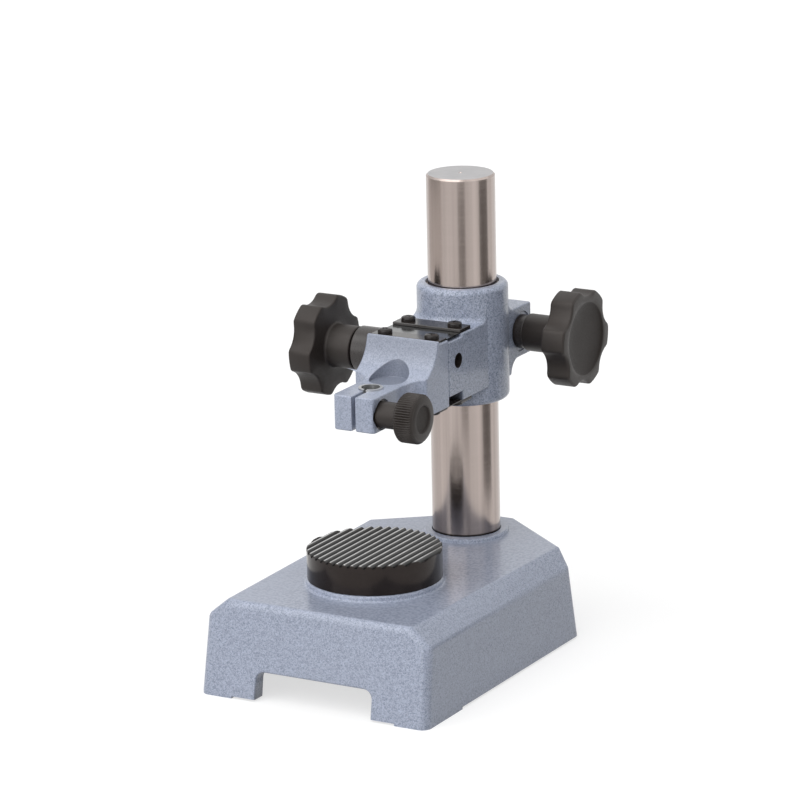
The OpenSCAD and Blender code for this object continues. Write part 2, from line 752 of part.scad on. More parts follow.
// The holder seen from the side, in (y, z): arm, hollow sweep, upright block and the lip before the leaf.
module holder_side() {
  nose = stem - nose_l;
  rise = block_top - arm_top - sweep_r;
  sweep_y = stem + brow_y - sqrt(sweep_r * sweep_r - rise * rise);
  difference() {
    translate([nose, arm_low]) square([holder_back - nose, block_h + lip_h]);
    translate([leaf_front - lip_gap, block_top]) square([front_strip_l + lip_gap + eps, lip_h + eps]);
    translate([nose - eps, arm_top]) square([sweep_y - nose + eps, block_h]);
    translate([sweep_y, arm_top + sweep_r]) circle(sweep_r, $fn = 96);
  }
}

// The holder seen from above, in (x, y): the arm widens into the block with hollow flanks.
module holder_plan() {
  difference() {
    union() {
      translate([0, holder_back]) rotate(180) tongue_plan(arm_w, holder_back - stem + nose_l, corner_r);
      translate([-block_w / 2, stem + flare_y]) square([block_w, holder_back - stem - flare_y]);
    }
    for (side = [-1, 1]) translate([side * (arm_w / 2 + flare_r), stem + flare_y]) circle(flare_r);
  }
}

module holder() {
  color(paint) difference() {
    union() {
      intersection() {
        across(block_w) holder_side();
        translate([0, 0, arm_low]) linear_extrude(block_h + lip_h) holder_plan();
      }
      translate([-tongue_w / 2, holder_back - eps, tongue_low]) cube([tongue_w, tongue_l + eps, tongue_h]);
    }
    translate([0, stem, arm_low - eps]) cylinder(d = bush_d + 2 * seat_gap, h = arm_h + 2 * eps);
    translate([0, stem + scoop_y, arm_top - scoop_h]) cylinder(r = scoop_r, h = block_h);
    translate([-nose_slot / 2, stem - nose_l - eps, arm_low - eps]) cube([nose_slot, nose_l + eps, block_h]);
    along_x(-block_w, thumb_y, thumb_z) cylinder(d = thumb_stud_d + 2 * run_gap, h = 2 * block_w);
    along_x(thumb_seat, thumb_y, thumb_z) cylinder(d = spot_d, h = block_w);
    screw_holes(front_screw_y, block_top - screw_l, block_top + eps);
    screw_holes(front_screw_y, arm_low - eps, arm_low + screw_l);
  }
}

module stem_bush() {
  slit = 0.6 * nose_slot;
  color(steel) translate([0, stem, arm_low]) difference() {
    cylinder(d = bush_d, h = arm_h + bush_up);
    translate([0, 0, -eps]) cylinder(d = stem_d, h = arm_h + bush_up + 2 * eps);
    translate([-slit / 2, -bush_d, -eps]) cube([slit, bush_d, arm_h + bush_up + 2 * eps]);
  }
}

// The lobed outline of a large knob.
module lobed() {
  difference() {
    circle(d = knob_d, $fn = 96);
    for (i = [0:lobes - 1]) rotate((i + 0.5) * 360 / lobes)
      translate([knob_d / 2 - hollow_h + hollow_r, 0]) circle(hollow_r);
  }
}

// A large knob along +Z: hub from z = 0, lobed head beyond it, dished outer face, blind hole for its shaft.
module large_knob(hub_d, hub_l, bore_d, bore_l, phase) {
  r = knob_d / 2;
  end = hub_l + knob_t;
  edge = 0.7;
  dish_rim = (r - knob_r + dish_d / 2) / 2;
  difference() {
    union() {
      rotate_extrude() polygon([[0, 0], [hub_d / 2 - edge, 0], [hub_d / 2, edge], [hub_d / 2, hub_l + eps],
        [0, hub_l + eps]]);
      intersection() {
        translate([0, 0, hub_l]) rotate(phase) linear_extrude(knob_t) lobed();
        rotate_extrude($fn = 96) polygon(concat([[0, hub_l], [r - knob_r, hub_l]],
          [for (a = [15:15:90]) [r - knob_r + knob_r * sin(a), hub_l + knob_r - knob_r * cos(a)]],
          [for (a = [0:15:90]) [r - knob_r + knob_r * cos(a), end - knob_r + knob_r * sin(a)]],
          [[dish_rim, end], [dish_d / 2, end - dish_h * 0.55], [dish_d / 3, end - dish_h],
          [0, end - dish_h]]));
      }
    }
    translate([0, 0, -eps]) cylinder(d = bore_d, h = bore_l + eps);
  }
}

// The grub screw's place, drawn from the shaft's axis down through the fine knob's hub.
module grub_hole(l) {
  translate([grub_x, shaft_y, shaft_z]) rotate([180, 0, 0]) translate([0, 0, shaft_d / 2 - grub_sink])
    cylinder(d = grub_d + 2 * seat_gap, h = l, $fn = 24);
}

module fine_knob() {
  color(black) difference() {
    translate([hub_end, shaft_y, shaft_z]) rotate([0, -90, 0])
      large_knob(fine_hub_d, fine_hub_l, shaft_d + 2 * seat_gap, fine_hub_l + 2, fine_phase);
    grub_hole(fine_hub_d);
  }
}

// Cam outline with a steady rise over its working turn, high end first, and a quick return.
function cam_r(a) = a <= cam_turn ? cam_mid + cam_rise * (a / cam_turn - 0.5)
  : cam_mid + cam_rise * (0.5 - (a - cam_turn) / (360 - cam_turn));

module fine_shaft() {
  cam_l = tongue_w;
  tail = block_w / 2 - journal_back;
  start = hub_end - fine_hub_l;
  turn = 180 - cam_turn / 2;
  color(steel) difference() {
    union() {
      along_x(start, shaft_y, shaft_z) cylinder(d = shaft_d, h = -cam_l / 2 - clip_w - start);
      along_x(-cam_l / 2 - clip_w - eps, shaft_y, shaft_z)
        cylinder(r = cam_mid - cam_rise, h = clip_w + 2 * eps);
      along_x(-cam_l / 2, shaft_y, shaft_z) linear_extrude(cam_l)
        polygon([for (a = [0:10:350]) cam_r(a) * [cos(a + turn), sin(a + turn)]]);
      along_x(cam_l / 2 - eps, shaft_y, shaft_z) cylinder(d = journal_d, h = tail - cam_l / 2 + eps);
    }
    grub_hole(shaft_d);
    along_x(-pocket_w / 2 + run_gap, shaft_y, shaft_z) difference() {
      cylinder(d = shaft_d + eps, h = clip_w + 2 * run_gap);
      translate([0, 0, -eps]) cylinder(d = shaft_d - 2 * clip_groove, h = clip_w + 2 * eps);
    }
  }
}

module shaft_clip() {
  color(blued) along_x(-pocket_w / 2 + 2 * run_gap, shaft_y, shaft_z) difference() {
    cylinder(d = shaft_d + 3, h = clip_w);
    translate([0, 0, -eps]) cylinder(d = shaft_d - 2 * clip_groove + 2 * seat_gap, h = clip_w + 2 * eps);
    translate([0, -shaft_d / 2 + 1, -eps]) cube([shaft_d, shaft_d - 2, clip_w + 2 * eps]);
  }
}

module knob_grub() {
  grub_l = fine_hub_d / 2 - shaft_d / 2 + grub_sink / 2;
  socket_h = grub_d / 2;
  color(blued) translate([grub_x, shaft_y, shaft_z]) rotate([180, 0, 0])
    translate([0, 0, shaft_d / 2 - grub_sink]) difference() {
      cylinder(d = grub_d, h = grub_l, $fn = 24);
      translate([0, 0, grub_l - socket_h]) cylinder(d = 0.55 * grub_d, h = socket_h + eps, $fn = 6);
    }
}

module clamp_washer() {
  color(blued) along_x(clamp_seat, clamp_y, clamp_z) difference() {
    cylinder(d = clamp_hub_d - washer_step, h = washer_t);
    translate([0, 0, -eps]) cylinder(d = clamp_d + 2 * run_gap, h = washer_t + 2 * eps);
  }
}

module clamp_knob() {
  color(black) along_x(clamp_knob_x, clamp_y, clamp_z)
    large_knob(clamp_hub_d, clamp_hub_l, clamp_d + 2 * seat_gap, clamp_hub_l / 2, clamp_phase);
}

module clamp_stud() {
  tip = -block_w / 2 + stud_back;
  color(steel) along_x(tip, clamp_y, clamp_z)
    cylinder(d = clamp_d, h = clamp_knob_x + clamp_hub_l / 2 - tip - eps);
}

module thumb_washer() {
  color(steel) along_x(thumb_seat, thumb_y, thumb_z) difference() {
    cylinder(d = spot_d - 0.8, h = thumb_washer_t);
    translate([0, 0, -eps]) cylinder(d = thumb_stud_d + 2 * run_gap, h = thumb_washer_t + 2 * eps);
  }
}

// A thumb knob along +Z: neck from z = 0, straight rim with broken edges, shallow dish.
module thumb_knob() {
  r = thumb_d / 2;
  edge = 0.8;
  end = neck_l + thumb_t;
  dish_r = r * 0.62;
  color(black) along_x(thumb_knob_x, thumb_y, thumb_z) difference() {
    rotate_extrude() polygon([[0, 0], [neck_d / 2, 0], [neck_d / 2, neck_l], [r - edge, neck_l],
      [r, neck_l + edge], [r, end - 2 * edge], [r - edge, end - edge * 0.6], [r - 2 * edge, end],
      [dish_r + edge, end], [dish_r, end - edge], [0, end - edge]]);
    translate([0, 0, -eps]) cylinder(d = thumb_stud_d + 2 * seat_gap, h = neck_l + eps);
  }
}

module thumb_stud() {
  tip = -arm_w / 2 + stud_back;
  color(steel) along_x(tip, thumb_y, thumb_z)
    cylinder(d = thumb_stud_d, h = thumb_knob_x + neck_l - tip - eps);
}

base();
anvil();
anvil_screw();
column();
column_bolt();
column_washer();
liner();
bracket();
shaft_bush();
upper_leaf();
lower_leaf();
rear_upper_strip();
rear_lower_strip();
screw_upper_rear_left();
screw_upper_rear_right();
screw_lower_rear_left();
screw_lower_rear_right();
holder();
stem_bush();
front_upper_strip();
front_lower_strip();
screw_upper_front_left();
screw_upper_front_right();
screw_lower_front_left();
screw_lower_front_right();
fine_knob();
fine_shaft();
shaft_clip();
knob_grub();
clamp_washer();
clamp_knob();
clamp_stud();
thumb_washer();
thumb_knob();
thumb_stud();
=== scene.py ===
import json
import math

import bmesh
import bpy
import numpy as np
from mathutils import Matrix, Vector

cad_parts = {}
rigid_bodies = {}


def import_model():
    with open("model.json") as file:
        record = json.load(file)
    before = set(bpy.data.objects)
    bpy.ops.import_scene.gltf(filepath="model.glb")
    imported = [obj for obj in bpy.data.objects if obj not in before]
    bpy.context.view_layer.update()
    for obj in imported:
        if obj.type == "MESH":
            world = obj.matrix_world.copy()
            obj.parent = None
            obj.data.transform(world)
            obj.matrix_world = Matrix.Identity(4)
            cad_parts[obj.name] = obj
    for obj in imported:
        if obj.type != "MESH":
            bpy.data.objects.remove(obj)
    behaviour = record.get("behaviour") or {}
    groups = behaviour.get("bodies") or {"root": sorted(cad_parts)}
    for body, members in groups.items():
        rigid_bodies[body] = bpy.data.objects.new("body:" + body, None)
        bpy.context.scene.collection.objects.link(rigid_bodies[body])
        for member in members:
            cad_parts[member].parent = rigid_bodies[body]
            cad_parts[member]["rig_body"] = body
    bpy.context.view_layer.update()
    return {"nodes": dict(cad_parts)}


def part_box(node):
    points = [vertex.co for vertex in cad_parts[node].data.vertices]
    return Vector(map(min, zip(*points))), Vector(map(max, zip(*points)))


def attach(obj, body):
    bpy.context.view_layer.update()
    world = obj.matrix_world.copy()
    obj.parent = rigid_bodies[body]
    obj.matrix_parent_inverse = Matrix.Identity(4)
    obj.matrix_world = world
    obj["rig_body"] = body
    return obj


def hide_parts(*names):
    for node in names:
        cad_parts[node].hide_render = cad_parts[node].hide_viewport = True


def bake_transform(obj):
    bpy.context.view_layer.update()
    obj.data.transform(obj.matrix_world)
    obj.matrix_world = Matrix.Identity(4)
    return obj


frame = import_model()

NODE = frame["nodes"]
MM = 0.001
SCENE = bpy.context.scene
SCENE.view_settings.view_transform = "Standard"


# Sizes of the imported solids, in millimetres, read from their boxes.
def span(node):
    low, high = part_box(node)
    return np.array(low) / MM, np.array(high) / MM


def centre_of(node):
    low, high = span(node)
    return (low + high) / 2


COLUMN_LOW, COLUMN_HIGH = span("column")
COLUMN_Y = centre_of("column")[1]
COLUMN_R = (COLUMN_HIGH[0] - COLUMN_LOW[0]) / 2
ANVIL_LOW, ANVIL_HIGH = span("anvil")
STEM_Y = centre_of("anvil")[1]
BASE_LOW, BASE_HIGH = span("base")
HOLDER_LOW, HOLDER_HIGH = span("holder")
BLOCK_W = HOLDER_HIGH[0] - HOLDER_LOW[0]
ARM_TOP = HOLDER_LOW[2] + 15.3
LEAF_FRONT = span("upper_leaf")[0][1]

# Sizes inside the solids that no box gives, in millimetres.
JOURNAL_R = 3.3
RIDGE_PITCH = 3.5
SCOOP_Y, SCOOP_R = STEM_Y + 15.5, 8.5
HEAD_R, HEAD_H, SHANK_R, SHANK_L = 3.15, 2.1, 1.5, 9.0
KNOB_R, KNOB_T = 21.9, 11.0
STEM_SEAT_R, THUMB_SEAT_R, CLAMP_SEAT_R, SHAFT_SEAT_R = 5.8, 7.2, 9.6, 7.6
SCREW_HOLE_R = 2
LINER_WALL = 1.6
POCKET_HALF, POCKET_BACK = 9.5, 20


# A node material that reads the piece's own coordinates.
class Finish:
    def __init__(self, name):
        self.mat = bpy.data.materials.new(name)
        self.mat.use_nodes = True
        self.tree = self.mat.node_tree
        self.shader = self.tree.nodes["Principled BSDF"]
        coords = self.add("TexCoord")
        self.at, self.normal = coords.outputs["Object"], coords.outputs["Normal"]

    def put(self, socket, value):
        if isinstance(value, bpy.types.NodeSocket):
            self.tree.links.new(value, socket)
        else:
            socket.default_value = value

    def add(self, kind, **values):
        node = self.tree.nodes.new("ShaderNode" + kind)
        for key, value in values.items():
            if key in node.bl_rna.properties:
                setattr(node, key, value)
            else:
                self.put(node.inputs[key.replace("_", " ")], value)
        return node

    def set(self, **values):
        for key, value in values.items():
            self.put(self.shader.inputs[key.replace("_", " ")], value)
        return self

    def noise(self, scale, detail=2.0, rough=0.5, vector=None):
        node = self.add("TexNoise", Scale=scale, Detail=detail, Roughness=rough)
        self.put(node.inputs["Vector"], vector or self.at)
        return node.outputs["Fac"]

    # Random grains: each one's own value, and the distance from its middle.
    def grains(self, scale):
        node = self.add("TexVoronoi", Scale=scale)
        self.put(node.inputs["Vector"], self.at)
        return self.part(node.outputs["Color"], "X"), node.outputs["Distance"]

    def span(self, value, low, high, to_low=0.0, to_high=1.0, smooth=False):
        node = self.add("MapRange", Value=value, From_Min=low, From_Max=high, To_Min=to_low, To_Max=to_high)
        if smooth:
            node.interpolation_type = "SMOOTHSTEP"
        return node.outputs["Result"]

    def math(self, operation, a, b):
        node = self.add("Math", operation=operation)
        self.put(node.inputs[0], a)
        self.put(node.inputs[1], b)
        return node.outputs[0]

    def plus(self, a, b):
        return self.math("ADD", a, b)

    def times(self, a, b):
        return self.math("MULTIPLY", a, b)

    def rest_of(self, share):
        return self.math("SUBTRACT", 1.0, share)

    def stretch(self, scale):
        node = self.add("Mapping", vector_type="POINT")
        self.put(node.inputs["Vector"], self.at)
        node.inputs["Scale"].default_value = scale
        return node.outputs["Vector"]

    def ramp(self, value, *stops):
        node = self.add("ValToRGB", Fac=value)
        marks = node.color_ramp.elements
        while len(marks) < len(stops):
            marks.new(0.5)
        for mark, (place, colour) in zip(marks, stops):
            mark.position = place
            mark.color = (*colour, 1.0)
        return node.outputs["Color"]

    def blend(self, factor, a, b, kind="MIX"):
        node = self.add("Mix", data_type="RGBA", blend_type=kind)
        self.put(node.inputs[0], factor)
        for index, value in ((6, a), (7, b)):
            self.put(node.inputs[index], (*value, 1.0) if isinstance(value, tuple) else value)
        return node.outputs[2]

    def part(self, socket, axis):
        node = self.add("SeparateXYZ")
        self.put(node.inputs[0], socket)
        return node.outputs[axis]

    def bump(self, height, distance, strength):
        node = self.add("Bump", Height=height, Distance=distance, Strength=strength)
        self.put(self.shader.inputs["Normal"], node.outputs["Normal"])


def scaled(colour, share):
    return tuple(c * share for c in colour)


ENAMEL, ENAMEL_HAZE, ENAMEL_SPOT = (0.316, 0.350, 0.446), (0.345, 0.374, 0.452), (0.15, 0.165, 0.21)
FLECK_DARKER, FLECK_LIGHTER = (0.47, 0.42, 0.39), 0.30
ENAMEL_RELIEF, ENAMEL_DEPTH = 0.6, 0.00004
TOP_PAINTED_SHADE = 0.88
FORWARD_PAINTED_SHADE, FORWARD_PAINTED_SHADE_H = 0.72, 8


# Hammered enamel: blue-grey, finely speckled under a clear gloss. On a milled top its flecks are coarser and
# calmer and the top faces get a painted shade; from painted_shade_from up, forward faces get a painted shade.
def hammered(name, contrast, tone=1.0, milled_top_painted_shade=False, painted_shade_from=None):
    f = Finish(name)
    soft = f.noise(2100, 2.0, 0.6)
    grain, _ = f.grains(1750)
    speck, from_speck = f.grains(210)
    fleck = f.plus(f.span(soft, 0.28, 0.72, 0.0, 0.62), f.times(grain, 0.38))
    if milled_top_painted_shade:
        top = f.span(f.part(f.normal, "Z"), 0.90, 0.985, smooth=True)
        coarse = f.span(f.noise(900, 1.0, 0.5), 0.30, 0.70)
        fleck = f.plus(f.times(fleck, f.rest_of(top)), f.times(coarse, top))
    mid = scaled(ENAMEL, tone)
    dark = tuple(c * (1 - share * contrast) for c, share in zip(mid, FLECK_DARKER))
    light = scaled(mid, 1 + FLECK_LIGHTER * contrast)
    speckled = f.ramp(fleck, (0.15, dark), (0.5, mid), (0.85, light))
    haze = f.span(f.noise(38, 2.0), 0.35, 0.65, 0.0, 0.14)
    spots = f.times(f.span(from_speck, 0.05, 0.11, 0.55, 0.0), f.span(speck, 0.35, 0.40))
    toned = f.blend(haze, speckled, scaled(ENAMEL_HAZE, tone))
    toned = f.blend(spots, toned, ENAMEL_SPOT)
    relief = ENAMEL_RELIEF
    if milled_top_painted_shade:
        near = f.times(f.span(f.part(f.at, "X"), -34 * MM, -18 * MM),
                       f.span(f.part(f.at, "Y"), 15 * MM, 45 * MM, 1.0, 0.0))
        raw = f.rest_of(f.times(top, f.span(near, 0.0, 1.0, 0.5, 0.12)))
        toned = f.blend(raw, mid, toned)
        # Top faces blend half-way to a darker enamel: a painted shade on the top.
        toned = f.blend(f.times(top, 0.5), toned, scaled(mid, TOP_PAINTED_SHADE))
        relief = f.times(raw, ENAMEL_RELIEF)
    if painted_shade_from:
        # Faces that look forward are painted darker from this height up: a painted shade.
        ahead = f.span(f.part(f.normal, "Y"), -0.6, -0.3, 1.0, 0.0)
        forward_shade_mask = f.times(ahead, f.span(f.part(f.at, "Z"), painted_shade_from * MM, (painted_shade_from + FORWARD_PAINTED_SHADE_H) * MM))
        toned = f.blend(forward_shade_mask, toned, f.blend(1.0, toned, (FORWARD_PAINTED_SHADE,) * 3, "MULTIPLY"))
    f.bump(f.plus(soft, f.times(grain, 0.25)), ENAMEL_DEPTH, relief)
    return f.set(Base_Color=toned, Roughness=f.span(soft, 0.3, 0.7, 0.42, 0.55), Specular_IOR_Level=0.3,
                 Coat_Weight=0.65, Coat_Roughness=0.15, Coat_IOR=1.5).mat


# Bare machined metal, with fine tool marks along one axis.
def machined(name, colour, rough, marks=(4000, 300, 300)):
    f = Finish(name)
    lines = f.noise(1.0, 3.0, 0.6, f.stretch(marks))
    lined = f.blend(f.span(lines, 0.3, 0.7), scaled(colour, 0.80), colour)
    f.bump(lines, 0.000004, 0.6)
    return f.set(Base_Color=f.blend(f.span(f.noise(55, 2.0), 0.3, 0.7), lined, colour), Metallic=1.0,
                 Roughness=f.span(lines, 0.3, 0.7, rough * 0.8, rough * 1.2)).mat


COLUMN_TONES = (0.350, 0.296, 0.272), (0.450, 0.386, 0.357)
COLUMN_END_TONES = (0.40, 0.395, 0.40), (0.46, 0.45, 0.455)
COLUMN_FOOT_SHADOW = (0.035, 0.028, 0.025)


# Ground column: warm grey steel with faint lengthwise streaks, fine rings and a painted shadow line at its
# foot.
def ground_column(name):
    f = Finish(name)
    streak = f.noise(1.0, 2.0, 0.5, f.stretch((420, 420, 3)))
    rings = f.noise(1.0, 3.0, 0.65, f.stretch((12, 12, 2600)))
    cloud = f.noise(1.0, 2.0, 0.5, f.stretch((160, 160, 160)))
    mixed = f.plus(f.times(streak, 0.75), f.times(rings, 0.25))
    side = f.ramp(mixed, (0.32, COLUMN_TONES[0]), (0.68, COLUMN_TONES[1]))
    face = f.ramp(cloud, (0.3, COLUMN_END_TONES[0]), (0.7, COLUMN_END_TONES[1]))
    end = f.span(f.part(f.normal, "Z"), 0.85, 0.99)
    # Below the base's top the column is painted near black: a painted shadow where it meets the base.
    above = f.span(f.part(f.at, "Z"), (BASE_HIGH[2] - 0.4) * MM, (BASE_HIGH[2] + 0.1) * MM)
    f.bump(rings, 0.000003, 0.5)
    return f.set(Base_Color=f.blend(above, COLUMN_FOOT_SHADOW, f.blend(end, side, face)), Metallic=1.0,
                 Roughness=f.plus(f.span(rings, 0.3, 0.7, 0.15, 0.23), f.times(end, 0.2))).mat


OXIDE_TONES = (0.019, 0.015, 0.014), (0.032, 0.026, 0.024)


# Black oxide steel, brown in the light.
def oxide(name, gloss=0.30, shade=1.0):
    f = Finish(name)
    fine = f.noise(2200, 2.0)
    low, high = (scaled(tone, shade) for tone in OXIDE_TONES)
    f.bump(fine, 0.00001, 0.3)
    return f.set(Base_Color=f.ramp(f.noise(120, 3.0, 0.6), (0.3, low), (0.7, high)),
                 Roughness=f.span(fine, 0.3, 0.7, gloss * 0.85, gloss * 1.15))


RIDGE_ROOT, RIDGE_FLANK = (0.007, 0.006, 0.006), (0.105, 0.105, 0.104)
CREST_TONES = (0.46, 0.455, 0.45), (0.70, 0.695, 0.69)
OXIDE_SHEEN, PLAIN_SHEEN = (1.0, 0.84, 0.79), (1.0, 1.0, 1.0)


# The anvil's finish: black oxide, with grey flanks and bare lines along the crests of its ridges.
def serrated(name):
    f = oxide(name, 0.15, 0.55).set(Specular_IOR_Level=0.3)
    black = f.shader.inputs["Base Color"].links[0].from_socket
    gloss = f.shader.inputs["Roughness"].links[0].from_socket
    height, crest_z, rim_r = f.part(f.at, "Z"), ANVIL_HIGH[2], ANVIL_HIGH[0]
    half_pitch = RIDGE_PITCH / 2 * MM
    flank = f.span(height, (crest_z - 1.3) * MM, (crest_z - 0.1) * MM)
    aside = f.math("PINGPONG", f.plus(f.part(f.at, "X"), half_pitch), half_pitch)
    line = f.times(f.span(aside, 0.14 * MM, 0.38 * MM, 1.0, 0.0, True),
                   f.span(height, (crest_z - 0.2) * MM, (crest_z - 0.03) * MM))
    worn = f.noise(1.0, 3.0, 0.6, f.stretch((900, 160, 900)))
    bare = f.ramp(worn, (0.3, CREST_TONES[0]), (0.7, CREST_TONES[1]))
    ridge = f.blend(line, f.blend(flank, RIDGE_ROOT, RIDGE_FLANK), bare)
    flat = f.add("VectorMath", operation="SUBTRACT")
    f.put(flat.inputs[0], f.stretch((1, 1, 0)))
    flat.inputs[1].default_value = (0, STEM_Y * MM, 0)
    out = f.add("VectorMath", operation="LENGTH")
    f.put(out.inputs[0], flat.outputs[0])
    inside = f.span(out.outputs["Value"], (rim_r - 0.25) * MM, (rim_r - 0.08) * MM, 1.0, 0.0)
    share = f.times(f.span(height, (crest_z - 1.5) * MM, (crest_z - 1.38) * MM), inside)
    return f.set(Base_Color=f.blend(share, black, ridge), Metallic=f.span(share, 0.0, 1.0, 0.0, 0.6),
                 Specular_Tint=f.blend(share, OXIDE_SHEEN, PLAIN_SHEEN),
                 Roughness=f.plus(gloss, f.times(share, 0.15))).mat


PLASTIC_TONES = (0.018, 0.014, 0.012), (0.026, 0.022, 0.020)
PLASTIC_SHEEN = (1.0, 0.94, 0.91, 1.0)


# Satin moulded plastic with a faint skin texture.
def moulded(name, rough, gloss):
    f = Finish(name)
    skin = f.noise(1500, 3.0, 0.6)
    f.bump(skin, 0.00003, 0.45)
    return f.set(Base_Color=f.ramp(f.noise(70, 2.0), (0.3, PLASTIC_TONES[0]), (0.7, PLASTIC_TONES[1])),
                 Roughness=f.span(skin, 0.3, 0.7, rough - 0.06, rough + 0.06), Specular_IOR_Level=gloss,
                 Specular_Tint=PLASTIC_SHEEN).mat


PAINT_BASE = hammered("hammered_enamel_base", 1.0, milled_top_painted_shade=True)
PAINT_BRACKET = hammered("hammered_enamel_bracket", 1.45)
# Its enamel is painted 6% lighter than the base's: a painted highlight for the light on the holder's arm.
PAINT_HOLDER = hammered("hammered_enamel_holder", 0.75, 1.06, painted_shade_from=ARM_TOP + 1.5)
# Darker enamel for the scoop's wall: a painted shade in the hollow.
PAINT_SCOOP_PAINTED_SHADE = hammered("hammered_enamel_scoop_painted_shade", 0.6, 0.66)
BARE = machined("milled_casting", (0.47, 0.465, 0.46), 0.38)
STEEL = machined("turned_steel", (0.50, 0.475, 0.455), 0.26)
BUSH_STEEL = machined("bright_steel", (0.54, 0.545, 0.55), 0.36)
SPRING = machined("spring_steel", (0.175, 0.178, 0.180), 0.15, (300, 3200, 300))
LINER = machined("liner_steel", (0.27, 0.24, 0.22), 0.4)
COLUMN = ground_column("ground_column_steel")
ANVIL = serrated("serrated_steel")
BLACK = oxide("black_oxide").mat
PLASTIC = moulded("satin_plastic", 0.46, 0.37)
RIM = moulded("polished_plastic", 0.44, 0.50)
MATT = moulded("matt_plastic", 0.52, 0.27)
SCREW_BLACK = oxide("blued_screw", 0.22, 0.7).set(Specular_IOR_Level=0.28).mat
STRIP_BLACK = oxide("blued_strip", 0.16).set(Specular_IOR_Level=0.7).mat
KNOB_FINISHES = [PLASTIC, MATT, RIM]

# Mesh helpers.
SHARP = 34.0
SOFTENED_FROM = math.radians(28.0)
FLAT_WITHIN = math.radians(0.4)
WELD = 2e-6


def finish_mesh(bm, name, mats, sharp=SHARP):
    bmesh.ops.recalc_face_normals(bm, faces=bm.faces)
    for face in bm.faces:
        face.smooth = True
    mesh = bpy.data.meshes.new(name)
    bm.to_mesh(mesh)
    bm.free()
    for mat in mats:
        mesh.materials.append(mat)
    mesh.set_sharp_from_angle(angle=math.radians(sharp))
    obj = bpy.data.objects.new(name, mesh)
    SCENE.collection.objects.link(obj)
    return obj


def weigh(obj):
    mod = obj.modifiers.new("even_normals", "WEIGHTED_NORMAL")
    mod.keep_sharp = True
    mod.weight = 80


def stand_for(obj, node):
    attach(obj, NODE[node]["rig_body"])
    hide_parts(node)


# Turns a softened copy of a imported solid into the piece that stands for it.
def softened_piece(bm, name, mats, node, sharp=SHARP):
    obj = finish_mesh(bm, name, mats, sharp)
    stand_for(obj, node)
    weigh(obj)


# A closed skin over rings of points, its two ends drawn to their middle points.
def loft(rings):
    bm = bmesh.new()
    rows = [[bm.verts.new(p) for p in ring] for ring in rings]
    count = len(rows[0])
    for a, b in zip(rows, rows[1:]):
        for i in range(count):
            j = (i + 1) % count
            bm.faces.new((a[i], a[j], b[j], b[i]))
    for row in (rows[0], rows[-1]):
        middle = bm.verts.new(sum((v.co for v in row), Vector()) / count)
        for i in range(count):
            bm.faces.new((row[i], row[(i + 1) % count], middle))
    return bm


def even_angles(count):
    return np.linspace(0, 2 * math.pi, count, endpoint=False)


# Skin round Z from pairs of a radius and a height. A radius is one number, or one for each angle.
def turned(rows, count):
    angles = even_angles(count)
    return loft([[(r * math.cos(a) * MM, r * math.sin(a) * MM, z * MM)
                  for r, a in zip(np.broadcast_to(radius, count), angles)] for radius, z in rows])


# Cuts the second mesh out of the first and leaves one clean mesh.
def cut(obj, tool):
    mod = obj.modifiers.new("cut", "BOOLEAN")
    mod.operation = "DIFFERENCE"
    mod.solver = "EXACT"
    mod.object = tool
    graph = bpy.context.evaluated_depsgraph_get()
    made = bpy.data.meshes.new_from_object(obj.evaluated_get(graph))
    obj.modifiers.clear()
    obj.data = made
    bpy.data.objects.remove(tool)


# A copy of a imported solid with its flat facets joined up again.
def joined_copy(node):
    bm = bmesh.new()
    bm.from_mesh(NODE[node].data)
    bmesh.ops.remove_doubles(bm, verts=bm.verts, dist=WELD)
    bmesh.ops.dissolve_limit(bm, angle_limit=FLAT_WITHIN, verts=bm.verts, edges=bm.edges)
    return bm


# Rounds the sharp edges that the test lets through. The test gets an edge's middle, in millimetres, and
# the edge itself.
def soften(bm, width, test, segments=3):
    edges = [e for e in bm.edges if len(e.link_faces) == 2 and e.calc_face_angle(0.0) > SOFTENED_FROM
             and test((e.verts[0].co + e.verts[1].co) / 2 / MM, e)]
    bmesh.ops.bevel(bm, geom=edges, offset=width * MM, offset_type="OFFSET", segments=segments, profile=0.5,
                    affect="EDGES", clamp_overlap=False, loop_slide=True)


def near_line(p, axis, a, b, r):
    u, v = [p[i] for i in range(3) if i != axis]
    return math.hypot(u - a, v - b) < r


# Base: hammered casting, its feet and seats milled bare, each rear corner cut made one flat face.
def build_base():
    bm = joined_copy("base")

    def notch_edge(p, edge):
        return p[1] < BASE_LOW[1] + 9 and abs(p[0]) < 30 and 1.2 < p[2] < 15

    def bevel_edge(p, edge):
        return 20 < p[2] < BASE_HIGH[2] - 5 and abs(p[0]) > BASE_HIGH[0] - 6

    def socket_edge(p, edge):
        return near_line(p, 2, 0, COLUMN_Y, COLUMN_R + 0.1) and p[2] > BASE_HIGH[2] - 3

    def in_rear_cut(face):
        return face.normal.y > 0.4 and abs(face.normal.x) > 0.3 and abs(face.normal.z) < 0.35

    bmesh.ops.recalc_face_normals(bm, faces=bm.faces)
    folds = [e for e in bm.edges if len(e.link_faces) == 2 and e.calc_face_angle(0.0) < math.radians(6)
             and all(in_rear_cut(face) for face in e.link_faces)]
    bmesh.ops.dissolve_edges(bm, edges=folds, use_verts=False)
    soften(bm, 0.9, notch_edge)
    soften(bm, 1.2, bevel_edge)
    soften(bm, 0.25, socket_edge, 1)
    bmesh.ops.recalc_face_normals(bm, faces=bm.faces)
    for face in bm.faces:
        z, up = face.calc_center_median().z / MM, face.normal.z
        foot = up < -0.99 and z < 0.2
        seat = up > 0.99 and z > ANVIL_LOW[2] + 5.5
        face.material_index = 1 if foot or seat else 0
    softened_piece(bm, "base_casting", [PAINT_BASE, BARE], "base", 38.0)
